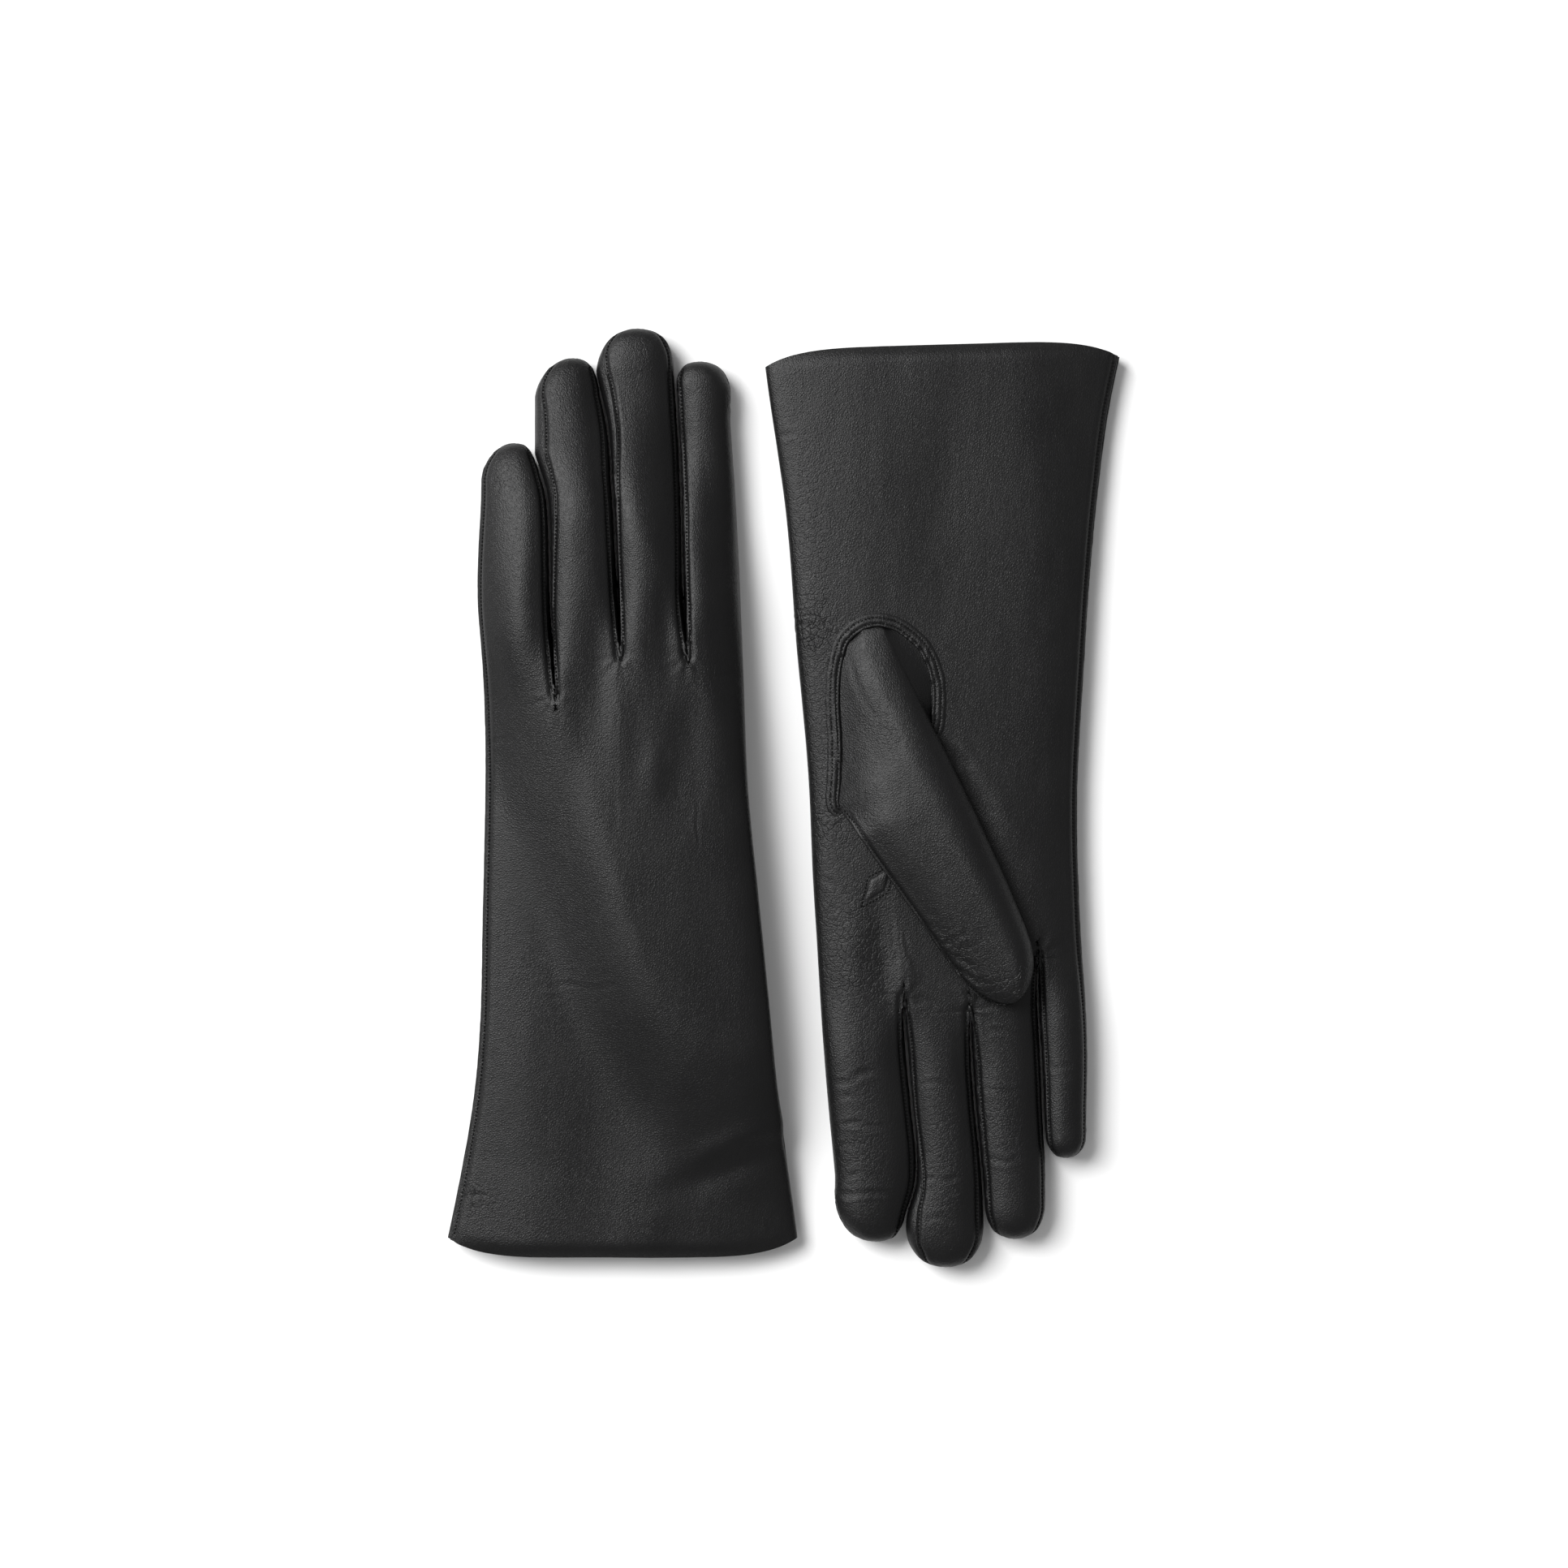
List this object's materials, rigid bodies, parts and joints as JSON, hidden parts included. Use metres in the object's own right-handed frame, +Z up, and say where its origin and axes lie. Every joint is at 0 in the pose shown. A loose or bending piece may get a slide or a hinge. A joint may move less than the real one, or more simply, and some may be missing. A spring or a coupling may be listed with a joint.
{
  "type": "leather gloves",
  "caption": "Long slim dress gloves in smooth black leather, left back up and right palm up, with set-in thumbs, fourchettes, hemmed cuffs and knitted lining.",
  "frame": {"origin": "on the table under the middle of the pair's bounding box", "axes": "+X from the left glove to the right glove, +Y along the gloves towards the left glove's fingertips, +Z up from the table"},
  "size_m": [0.2158, 0.3009, 0.0244],
  "materials": {
    "leather": "smooth black nappa with fine grain and a soft sheen",
    "lining": "matt black fine rib knit"
  },
  "bodies": {
    "right_hand": {"right_hand_leather": "leather", "right_hand_lining": "lining", "right_thumb_quirk": "leather", "right_thumb_base_leather": "leather"},
    "right_cuff": {"right_cuff_leather": "leather", "right_hem_facing": "leather", "right_cuff_lining": "lining"},
    "right_thumb": {"right_thumb_leather": "leather", "right_thumb_lining": "lining"},
    "right_little": {"right_little_leather": "leather", "right_little_lining": "lining", "right_little_ring_fourchette": "leather"},
    "right_ring": {"right_ring_leather": "leather", "right_ring_lining": "lining", "right_ring_little_fourchette": "leather", "right_ring_middle_fourchette": "leather"},
    "right_middle": {"right_middle_leather": "leather", "right_middle_lining": "lining", "right_middle_ring_fourchette": "leather", "right_middle_index_fourchette": "leather"},
    "right_index": {"right_index_leather": "leather", "right_index_lining": "lining", "right_index_middle_fourchette": "leather"},
    "left_hand": {"left_hand_leather": "leather", "left_hand_lining": "lining", "left_thumb_quirk": "leather", "left_thumb_base_leather": "leather"},
    "left_cuff": {"left_cuff_leather": "leather", "left_hem_facing": "leather", "left_cuff_lining": "lining"},
    "left_thumb": {"left_thumb_leather": "leather", "left_thumb_lining": "lining"},
    "left_little": {"left_little_leather": "leather", "left_little_lining": "lining", "left_little_ring_fourchette": "leather"},
    "left_ring": {"left_ring_leather": "leather", "left_ring_lining": "lining", "left_ring_little_fourchette": "leather", "left_ring_middle_fourchette": "leather"},
    "left_middle": {"left_middle_leather": "leather", "left_middle_lining": "lining", "left_middle_ring_fourchette": "leather", "left_middle_index_fourchette": "leather"},
    "left_index": {"left_index_leather": "leather", "left_index_lining": "lining", "left_index_middle_fourchette": "leather"}
  },
  "joints": [
    {"name": "right_wrist_bend", "type": "hinge", "parent": "right_hand", "child": "right_cuff", "pos_m": [0.0517, 0.0729, 0.0128], "axis": [1, 0, 0], "range_deg": [0, 45]},
    {"name": "right_little_bend", "type": "hinge", "parent": "right_hand", "child": "right_little", "pos_m": [0.0891, -0.0501, 0.0134], "axis": [-1, 0, 0], "range_deg": [0, 75]},
    {"name": "right_ring_bend", "type": "hinge", "parent": "right_hand", "child": "right_ring", "pos_m": [0.07098, -0.0701, 0.0134], "axis": [-1, 0, 0], "range_deg": [0, 75]},
    {"name": "right_middle_bend", "type": "hinge", "parent": "right_hand", "child": "right_middle", "pos_m": [0.04933, -0.0701, 0.0134], "axis": [-1, 0, 0], "range_deg": [0, 75]},
    {"name": "right_index_bend", "type": "hinge", "parent": "right_hand", "child": "right_index", "pos_m": [0.02525, -0.0701, 0.0134], "axis": [-1, 0, 0], "range_deg": [0, 75]},
    {"name": "right_thumb_lift", "type": "hinge", "parent": "right_hand", "child": "right_thumb", "pos_m": [0.0359, 0.0049, 0.02435], "axis": [-0.8877, -0.4604, 0], "range_deg": [0, 50]},
    {"name": "left_wrist_bend", "type": "hinge", "parent": "left_hand", "child": "left_cuff", "pos_m": [-0.0519, -0.0732, 0], "axis": [1, 0, 0], "range_deg": [0, 45]},
    {"name": "left_little_bend", "type": "hinge", "parent": "left_hand", "child": "left_little", "pos_m": [-0.08584, 0.0498, 0.00238], "axis": [-1, 0, 0], "range_deg": [0, 75]},
    {"name": "left_ring_bend", "type": "hinge", "parent": "left_hand", "child": "left_ring", "pos_m": [-0.06394, 0.0698, 0.00995], "axis": [-1, 0, 0], "range_deg": [0, 75]},
    {"name": "left_middle_bend", "type": "hinge", "parent": "left_hand", "child": "left_middle", "pos_m": [-0.04271, 0.0698, 0.00931], "axis": [-1, 0, 0], "range_deg": [0, 75]},
    {"name": "left_index_bend", "type": "hinge", "parent": "left_hand", "child": "left_index", "pos_m": [-0.02291, 0.0698, 0.00249], "axis": [-1, 0, 0], "range_deg": [0, 75]},
    {"name": "left_thumb_lift", "type": "hinge", "parent": "left_hand", "child": "left_thumb", "pos_m": [-0.0339, -0.0092, 0], "axis": [-0.9527, -0.3038, 0], "range_deg": [0, 50]},
    {"name": "left_glove_lift", "type": "slide", "parent": "right_hand", "child": "left_hand", "axis": [0, 0, 1], "range_m": [0, 0.12]}
  ]
}
